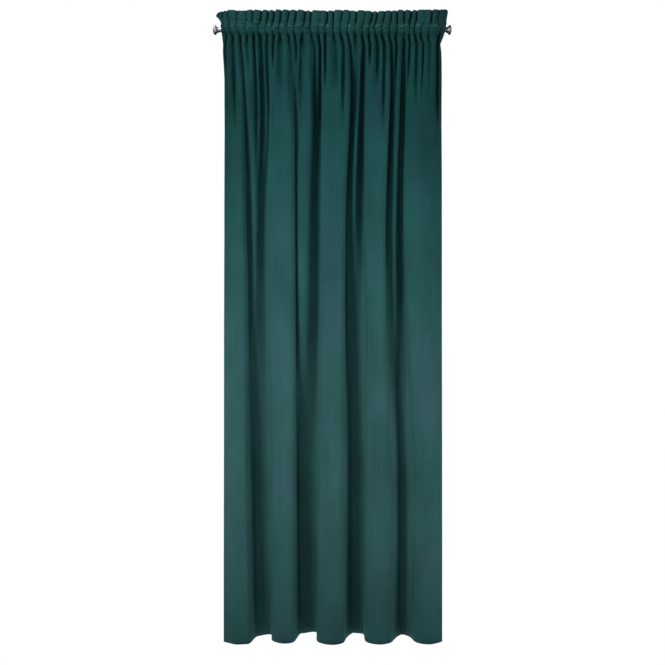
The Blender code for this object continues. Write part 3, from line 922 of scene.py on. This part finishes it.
def add_cloth(material, thread_material):
    """The panel, which stands for the solid one, and its stitches."""
    columns = [i + np.array(PLEAT_COLUMNS) for i in range(PLEAT_COUNT + 1)]
    columns = np.concatenate(columns + [[PLEAT_COUNT + 1.0]])
    grid, heights, facing = cloth_grid(columns)
    normals = grid_normals(grid)
    outer = grid + normals * CLOTH / 2
    inner = grid - normals * (CLOTH / 2 + hem_depth(grid, heights, facing))[:, :, None]
    down = np.linalg.norm(np.diff(grid, axis=0), axis=2).mean(axis=1).cumsum()
    down = np.concatenate([[0.0], down])
    flat = np.stack(np.meshgrid(columns / columns[-1] * CUT_WIDTH, down), axis=2)
    cloth = mesh_of_grids("velvet_cloth", outer, inner, flat)
    cloth.data.materials.append(material)
    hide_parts("curtain_panel")
    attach(cloth, "root")
    stitches = add_stitches(seam_lines(outer, inner, normals, heights, facing), thread_material)


def nodes_of(material):
    """A material's nodes and the links between them."""
    return material.node_tree.nodes, material.node_tree.links


def set_inputs(node, values):
    """Give some of a node's inputs their values."""
    for name, value in values.items():
        node.inputs[name].default_value = value


def new_material(name):
    """A material with its shader."""
    material = bpy.data.materials.new(name)
    material.use_nodes = True
    return material, material.node_tree.nodes["Principled BSDF"]


def noise_of(material, vector, grain):
    """A noise texture with some grain on a vector in metres."""
    nodes, links = nodes_of(material)
    mapping = nodes.new("ShaderNodeMapping")
    set_inputs(mapping, {"Scale": (grain.x, grain.y, grain.z)})
    links.new(vector, mapping.inputs["Vector"])
    noise = nodes.new("ShaderNodeTexNoise")
    set_inputs(noise, {"Scale": 1.0, "Detail": grain.detail})
    links.new(mapping.outputs["Vector"], noise.inputs["Vector"])
    return noise.outputs["Fac"]


def maths(material, operation, first, second):
    """One Math node. Each input is a number or a socket."""
    nodes, links = nodes_of(material)
    node = nodes.new("ShaderNodeMath")
    node.operation = operation
    for socket, value in zip(node.inputs, (first, second)):
        if isinstance(value, float):
            socket.default_value = value
        else:
            links.new(value, socket)
    return node.outputs[0]


def mapped(material, value, low, high, start=0.0, end=1.0):
    """A number between start and end read as one between low and high."""
    nodes, links = nodes_of(material)
    node = nodes.new("ShaderNodeMapRange")
    set_inputs(node, {"From Min": start, "From Max": end, "To Min": low, "To Max": high})
    links.new(value, node.inputs["Value"])
    return node.outputs["Result"]


def colours(material, value, stops):
    """A colour ramp of (place, colour) stops."""
    nodes, links = nodes_of(material)
    ramp = nodes.new("ShaderNodeValToRGB")
    elements = ramp.color_ramp.elements
    while len(elements) < len(stops):
        elements.new(1.0)
    for element, (place, colour) in zip(elements, stops):
        element.position = place
        element.color = (*colour, 1.0)
    links.new(value, ramp.inputs["Fac"])
    return ramp.outputs["Color"]


def tinted(material, operation, colour, by):
    """A colour scaled by a number, or multiplied by another colour."""
    nodes, links = nodes_of(material)
    node = nodes.new("ShaderNodeVectorMath")
    node.operation = operation
    links.new(colour, node.inputs[0])
    links.new(by, node.inputs["Scale" if operation == "SCALE" else 1])
    return node.outputs[0]


def add_bump(material, shader, height, strength, distance):
    """Fine relief of a surface, which only shows in how it takes the light."""
    nodes, links = nodes_of(material)
    bump = nodes.new("ShaderNodeBump")
    set_inputs(bump, {"Strength": strength, "Distance": distance})
    links.new(height, bump.inputs["Height"])
    links.new(bump.outputs["Normal"], shader.inputs["Normal"])


def painted_seam_highlight(material, place, up):
    """A painted highlight: how much lighter the pile is drawn in short wavy lengths under the upper
    seam.
    """
    waves = noise_of(material, place, PAINTED_HIGHLIGHT_WAVE_GRAIN)
    middle = mapped(material, waves, PAINTED_HIGHLIGHT_AT - PAINTED_HIGHLIGHT_WAVES, PAINTED_HIGHLIGHT_AT + PAINTED_HIGHLIGHT_WAVES)
    away = maths(material, "ABSOLUTE", maths(material, "SUBTRACT", up, middle), 0.0)
    lengths = noise_of(material, place, PAINTED_HIGHLIGHT_LENGTH_GRAIN)
    part = mapped(material, lengths, 0.0, PAINTED_HIGHLIGHT_STRENGTH, *PAINTED_HIGHLIGHT_OVER)
    seam_highlight = maths(material, "MULTIPLY", mapped(material, away, 1.0, 0.0, 0.0, PAINTED_HIGHLIGHT_HALF), part)
    return maths(material, "ADD", seam_highlight, 1.0)


def side_painted_shade(material, across, up):
    """Painted shade that darkens the cloth near its two side edges, high up the cloth."""
    inwards = maths(material, "PINGPONG", across, CUT_WIDTH / 2)
    beside = mapped(material, inwards, SIDE_PAINTED_SHADE, 0.0, 0.0, SIDE_BAND)
    high_up = mapped(material, up, 0.0, 1.0, *SIDE_HEIGHTS)
    return maths(material, "SUBTRACT", 1.0, maths(material, "MULTIPLY", beside, high_up))


def velvet():
    """Short cut pile in dark teal, with random patches from how the pile lies, painted shade up the
    cloth and beside its side edges, and a painted highlight under the upper seam.
    """
    material, shader = new_material("velvet")
    nodes, links = nodes_of(material)
    flat = nodes.new("ShaderNodeUVMap")
    flat.uv_map = "cut_cloth"
    place = flat.outputs["UV"]
    apart = nodes.new("ShaderNodeSeparateXYZ")
    links.new(place, apart.inputs["Vector"])
    across, up = apart.outputs["X"], apart.outputs["Y"]
    length = maths(material, "DIVIDE", up, CUT_LENGTH)
    # Painted shade: the colour darkens up the cloth towards the gathers, and a little at the hem
    tone_and_painted_shade = colours(material, length, [(at / CUT_LENGTH, shade) for at, shade in VELVET_TONES_WITH_PAINTED_SHADE])
    pile = noise_of(material, place, PILE)
    mottle_and_painted_light = maths(material, "MULTIPLY", noise_of(material, place, CRUSHED), CRUSHED_PART)
    streaks = maths(material, "MULTIPLY", noise_of(material, place, STREAKS), STREAKS_PART)
    mottle_and_painted_light = maths(material, "ADD", mottle_and_painted_light, streaks)
    mottle_and_painted_light = maths(material, "ADD", mottle_and_painted_light, maths(material, "MULTIPLY", pile, PILE_PART))
    mottle_and_painted_light = mapped(material, mottle_and_painted_light, 1.0 - VELVET_MOTTLE, 1.0 + VELVET_MOTTLE)
    # Painted shade near the side edges, high up
    mottle_and_painted_light = maths(material, "MULTIPLY", mottle_and_painted_light, side_painted_shade(material, across, up))
    # Painted highlight under the upper seam
    mottle_and_painted_light = maths(material, "MULTIPLY", mottle_and_painted_light, painted_seam_highlight(material, place, up))
    patches = noise_of(material, place, HUE_PATCHES)
    hue = colours(material, patches, [(NOISE_LOW, GREENER), (NOISE_HIGH, GREYER)])
    colour = tinted(material, "SCALE", tone_and_painted_shade, mottle_and_painted_light)
    links.new(tinted(material, "MULTIPLY", colour, hue), shader.inputs["Base Color"])
    set_inputs(shader, {
        "Roughness": 0.9,
        "Specular IOR Level": 0.05,
        "Sheen Weight": 0.12,
        "Sheen Roughness": 0.30,
        "Sheen Tint": (0.35, 0.75, 0.75, 1.0),
    })
    add_bump(material, shader, pile, strength=0.25, distance=0.0004)
    return material


def thread():
    """Spun thread in the cloth's colour, with the fine marks of its twist."""
    material, shader = new_material("thread")
    nodes, links = nodes_of(material)
    place = nodes.new("ShaderNodeTexCoord")
    twist = noise_of(material, place.outputs["Object"], THREAD_TWIST)
    shades = colours(material, twist, [(NOISE_LOW, THREAD_DARK), (NOISE_HIGH, THREAD_LIGHT)])
    links.new(shades, shader.inputs["Base Color"])
    set_inputs(shader, {"Roughness": 0.62, "Specular IOR Level": 0.25})
    add_bump(material, shader, twist, strength=0.5, distance=0.0001)
    return material


def turned_metal(metal):
    """Turned metal, its roughness uneven in fine rings round the axis."""
    material, shader = new_material(metal.name)
    nodes, links = nodes_of(material)
    place = nodes.new("ShaderNodeTexCoord")
    rings = noise_of(material, place.outputs["Object"], TURNED_RINGS)
    roughness = mapped(material, rings, metal.smoothest, metal.roughest)
    links.new(roughness, shader.inputs["Roughness"])
    set_inputs(shader, {"Base Color": (*metal.colour, 1.0), "Metallic": 1.0})
    add_bump(material, shader, rings, strength=0.08, distance=0.0001)
    return material


def add_metalwork():
    """The rod and its caps keep their solids' shapes and get finished metal."""
    steel = turned_metal(STEEL)
    chrome = turned_metal(CHROME)
    for name, material in (("rod", steel), ("finial_left", chrome), ("finial_right", chrome)):
        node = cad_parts[name]
        node.data.materials.clear()
        node.data.materials.append(material)


def add_camera():
    """A level camera whose picture is shifted up or down to the curtain's middle."""
    data = bpy.data.cameras.new("camera")
    data.sensor_width = SENSOR
    data.lens = SENSOR * CAMERA_BACK / SEEN_WIDTH
    data.shift_y = (SEEN_MIDDLE[1] - CAMERA_HEIGHT) / SEEN_WIDTH
    camera = add_object("camera", data)
    camera.location = (SEEN_MIDDLE[0], -CAMERA_BACK, CAMERA_HEIGHT)
    camera.rotation_euler = (math.pi / 2, 0.0, 0.0)
    bpy.context.scene.camera = camera


def add_light(light):
    """A soft rectangular light that stands round the curtain and faces it."""
    data = bpy.data.lights.new(light.name, "AREA")
    data.shape = "RECTANGLE"
    data.size, data.size_y = light.wide, light.tall
    data.energy = light.watts
    turn = math.radians(light.azimuth)
    place = Vector((light.away * math.sin(turn), -light.away * math.cos(turn), light.height))
    aim = Vector((0.0, 0.0, light.height * AIM_PART - AIM_LOWER))
    lamp = add_object(light.name, data)
    lamp.location = place
    lamp.rotation_euler = (aim - place).to_track_quat("-Z", "Y").to_euler()
    lamp.visible_camera = False


def backdrop_paint():
    """Pale paint that glows from the curtain backwards, and so lights its edges from behind."""
    material, shader = new_material("studio_paint")
    nodes, links = nodes_of(material)
    set_inputs(shader, {
        "Base Color": (BACKDROP_PALE, BACKDROP_PALE, BACKDROP_PALE, 1.0),
        "Roughness": 0.9,
        "Emission Color": WHITE,
    })
    place = nodes.new("ShaderNodeTexCoord")
    apart = nodes.new("ShaderNodeSeparateXYZ")
    links.new(place.outputs["Object"], apart.inputs["Vector"])
    glow = mapped(material, apart.outputs["Y"], 0.0, BACKDROP_GLOW, GLOW_START, GLOW_FULL)
    links.new(glow, shader.inputs["Emission Strength"])
    return material


def add_backdrop():
    """A pale floor that curves up into a pale wall. It gives light, and the camera doesn't see it."""
    floor_height = HEM - FLOOR_BELOW_HEM
    profile = [(FLOOR_FRONT, floor_height), (BACKDROP_BEND_START, floor_height)]
    for i in range(1, BEND_STEPS + 1):
        turn = math.pi / 2 * i / BEND_STEPS
        back = BACKDROP_BEND_START + BACKDROP_BEND * math.sin(turn)
        profile.append((back, floor_height + BACKDROP_BEND * (1.0 - math.cos(turn))))
    profile.append((BACKDROP_BEND_START + BACKDROP_BEND, WALL_TOP))
    shape = bmesh.new()
    left = [shape.verts.new((-BACKDROP_HALF, y, z)) for y, z in profile]
    right = [shape.verts.new((BACKDROP_HALF, y, z)) for y, z in profile]
    for i in range(len(profile) - 1):
        shape.faces.new([left[i], right[i], right[i + 1], left[i + 1]])
    wall = add_shape("studio", shape)
    wall.data.shade_smooth()
    wall.data.materials.append(backdrop_paint())
    wall.visible_camera = False
    wall.visible_glossy = False


def add_surround():
    """A white round studio, which the camera sees from every side and which gives no light."""
    material, shader = new_material("surround_paint")
    set_inputs(shader, {"Base Color": BLACK, "Emission Color": WHITE, "Emission Strength": 1.0})
    shape = bmesh.new()
    bmesh.ops.create_icosphere(shape, subdivisions=3, radius=SURROUND_RADIUS)
    surround = add_shape("surround", shape)
    surround.data.materials.append(material)
    surround.visible_diffuse = False
    surround.visible_glossy = False
    surround.visible_transmission = False
    surround.visible_shadow = False


def add_studio():
    """The backdrop, the white surround, the soft lights and a faint light all round."""
    add_backdrop()
    add_surround()
    for light in LIGHTS:
        add_light(light)
    world = bpy.data.worlds.new("studio")
    bpy.context.scene.world = world
    world.use_nodes = True
    sky = world.node_tree.nodes["Background"]
    set_inputs(sky, {"Color": (*WORLD_COLOUR, 1.0), "Strength": WORLD_LIGHT})
    bpy.context.scene.view_settings.view_transform = "Standard"


add_camera()
add_studio()
add_cloth(velvet(), thread())
add_metalwork()
